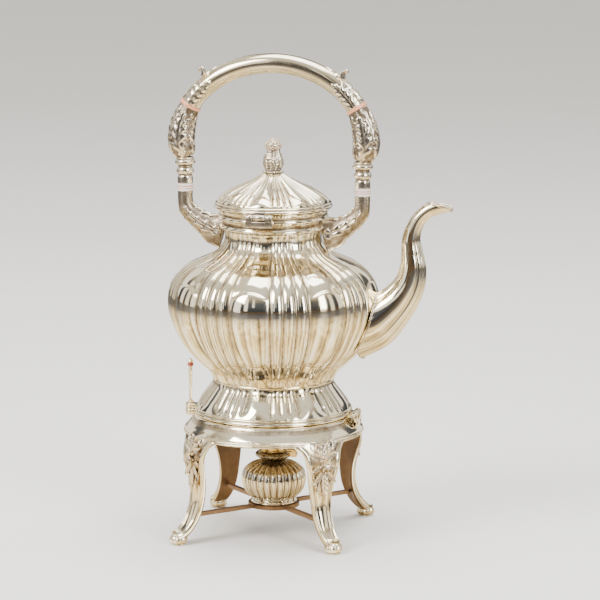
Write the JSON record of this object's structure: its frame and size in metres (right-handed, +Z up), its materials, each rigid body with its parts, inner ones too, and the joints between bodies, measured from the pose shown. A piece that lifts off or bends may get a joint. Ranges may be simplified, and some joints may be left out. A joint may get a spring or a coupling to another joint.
{
  "type": "kettle pot on a lamp stand",
  "caption": "Lobed silver hot-drink pot with spout, hinged lid and overhead handle, tilting on a cabriole-legged stand over a slide-out spirit burner.",
  "frame": {"origin": "on the table, on the pot's upright axis, at the level of the undersides of the four feet", "axes": "+Z up, +X towards the spout, -Y towards the lid's hinge"},
  "size_m": [0.2342, 0.174, 0.3912],
  "materials": {
    "silver": "polished, with light tarnish in the grooves",
    "dark_silver": "tarnished by heat",
    "gilt": "worn gilt",
    "ivory": "polished, ivory-coloured",
    "amber_band": "polished",
    "red_bead": "polished",
    "cotton": "braided"
  },
  "bodies": {
    "stand": {"stand_ring": "silver", "leg_1": "silver", "leg_2": "silver", "leg_3": "silver", "leg_4": "silver", "foot_pad_1": "silver", "foot_pad_2": "silver", "foot_pad_3": "silver", "foot_pad_4": "silver", "burner_seat_ring": "dark_silver", "seat_brackets": "dark_silver", "bracket_rivets": "dark_silver", "tilt_knuckle_stand": "silver", "tilt_hinge_pin": "silver", "rear_lug_stand": "silver"},
    "kettle": {"kettle_body": "silver", "spout_strainer": "silver", "neck_collar": "silver", "foot_skirt": "silver", "foot_rim": "silver", "spout": "silver", "handle_socket_front": "silver", "handle_socket_rear": "silver", "lower_insulator_front": "ivory", "lower_insulator_rear": "ivory", "handle_ferrule_front": "silver", "handle_ferrule_rear": "silver", "handle_arm_front": "silver", "handle_arm_rear": "silver", "upper_insulator_front": "amber_band", "upper_insulator_rear": "amber_band", "handle_grip": "silver", "handle_rivets": "silver", "collar_hinge_leaf": "silver", "lid_hinge_pin": "silver", "tilt_knuckle_pot": "silver", "rear_lug_pot": "silver"},
    "lid": {"lid_rim": "silver", "lid_flange": "silver", "lid_dome": "silver", "finial_base": "silver", "finial": "silver", "finial_screw": "silver", "finial_washer": "silver", "finial_nut": "silver", "lid_hinge_leaf": "silver"},
    "pin": {"locating_pin": "silver", "pin_bead": "red_bead", "pin_knob": "silver"},
    "burner": {"burner_foot": "silver", "burner_bowl": "silver", "burner_collar": "dark_silver", "wick_tube": "dark_silver", "wick": "cotton", "snuffer_bracket": "gilt", "snuffer_pin": "gilt"},
    "snuffer": {"snuffer_cap": "gilt", "snuffer_button": "gilt", "snuffer_strap": "gilt"}
  },
  "joints": [
    {"name": "kettle_tilt", "type": "hinge", "parent": "stand", "child": "kettle", "pos_m": [0.0685, 0, 0.101], "axis": [0, 1, 0], "range_deg": [0, 35]},
    {"name": "lid_hinge", "type": "hinge", "parent": "kettle", "child": "lid", "pos_m": [0, -0.0484, 0.265], "axis": [1, 0, 0], "range_deg": [0, 100]},
    {"name": "locating_pin_lift", "type": "slide", "parent": "kettle", "child": "pin", "axis": [0, 0, 1], "range_m": [0, 0.0055]},
    {"name": "burner_slide", "type": "slide", "parent": "stand", "child": "burner", "axis": [0, -1, 0], "range_m": [0, 0.17]},
    {"name": "snuffer_hinge", "type": "hinge", "parent": "burner", "child": "snuffer", "pos_m": [0.0176, 0, 0.0664], "axis": [0, 1, 0], "range_deg": [0, 110]}
  ]
}
